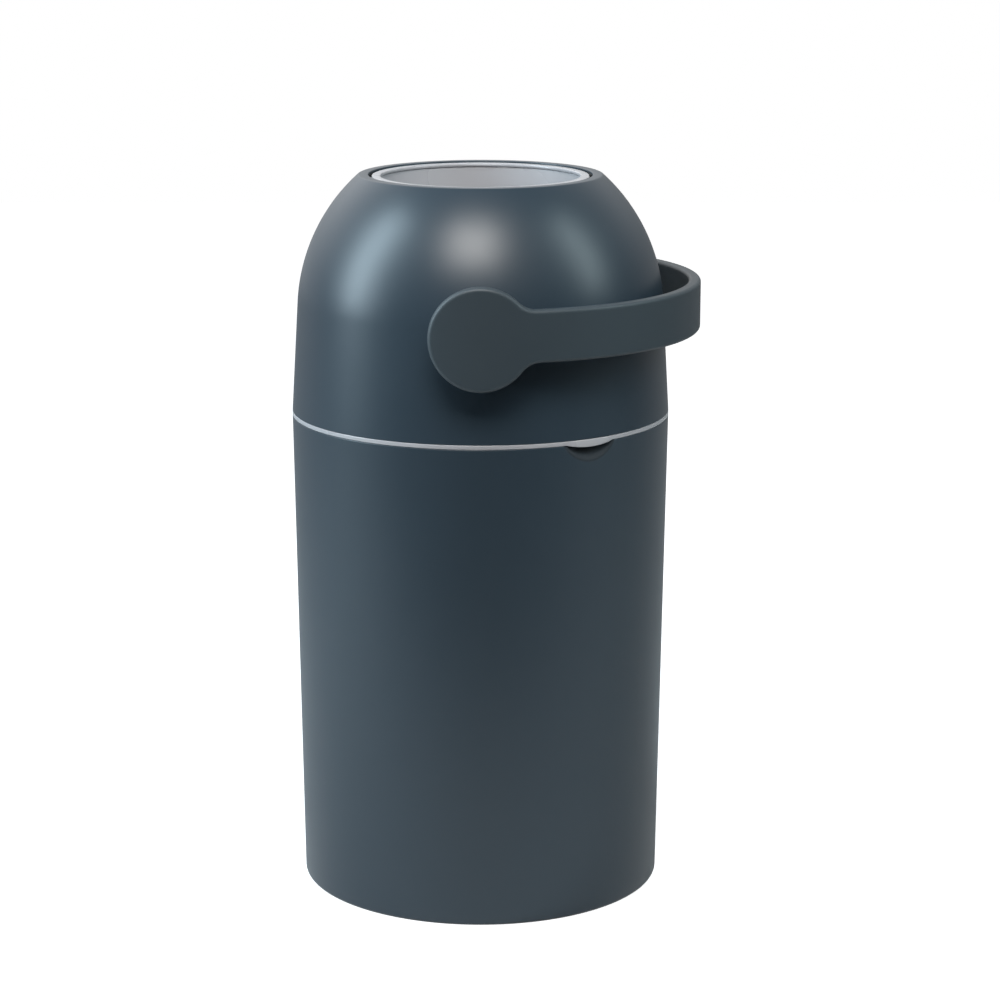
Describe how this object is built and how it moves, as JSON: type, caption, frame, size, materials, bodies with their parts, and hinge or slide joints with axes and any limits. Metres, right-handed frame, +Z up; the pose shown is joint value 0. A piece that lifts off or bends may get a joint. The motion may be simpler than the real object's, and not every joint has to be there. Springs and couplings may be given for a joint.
{
  "type": "nappy bin",
  "caption": "Tapered nappy bin with a hinged domed head and a ball-shaped flip drum that its handle turns half a turn to drop a nappy into the bag.",
  "frame": {"origin": "centre of the foot, on the floor", "axes": "+Z up along the bin's axis, -Y to the front, +X to the side on which the handle rests"},
  "size_m": [0.3025, 0.325, 0.5336],
  "materials": {
    "dark_shell": "satin, fine moulded texture, dark blue-grey",
    "dark_handle": "matt, dark grey",
    "dark_inner": "matt, near black",
    "light_plastic": "satin, light cool grey",
    "white_plastic": "self-lubricating bearing plastic",
    "seal_rubber": "soft black rubber",
    "steel": "zinc-plated steel"
  },
  "bodies": {
    "bucket": {"bucket": "dark_shell", "bag_ring": "light_plastic", "hinge_pin": "steel"},
    "head": {"dome": "dark_shell", "base_plate": "light_plastic", "rim_gasket": "seal_rubber", "top_seal": "seal_rubber", "lower_seal": "seal_rubber", "head_screws": "steel", "front_bush": "white_plastic", "rear_bush": "white_plastic"},
    "drum": {"drum_tube": "light_plastic", "front_socket": "light_plastic", "rear_socket": "light_plastic", "upper_ball": "dark_inner", "lower_ball": "dark_inner", "upper_rim": "light_plastic", "lower_rim": "light_plastic", "front_axle": "dark_handle", "rear_axle": "dark_handle", "axle_screws": "steel", "screw_plugs": "light_plastic", "handle": "dark_handle"},
    "piston": {"piston_top": "light_plastic", "piston_base": "light_plastic", "piston_weight": "steel", "piston_ring": "seal_rubber"}
  },
  "joints": [
    {"name": "head_hinge", "type": "hinge", "parent": "bucket", "child": "head", "pos_m": [-0.0822, 0.12187, 0.3577], "axis": [-0.829, -0.5592, 0], "range_deg": [0, 70]},
    {"name": "drum_turn", "type": "hinge", "parent": "head", "child": "drum", "pos_m": [0, 0, 0.4375], "axis": [0, -1, 0], "range_deg": [0, 180]},
    {"name": "piston_slide", "type": "slide", "parent": "drum", "child": "piston", "axis": [0, 0, 1], "range_m": [0, 0.1481]}
  ]
}
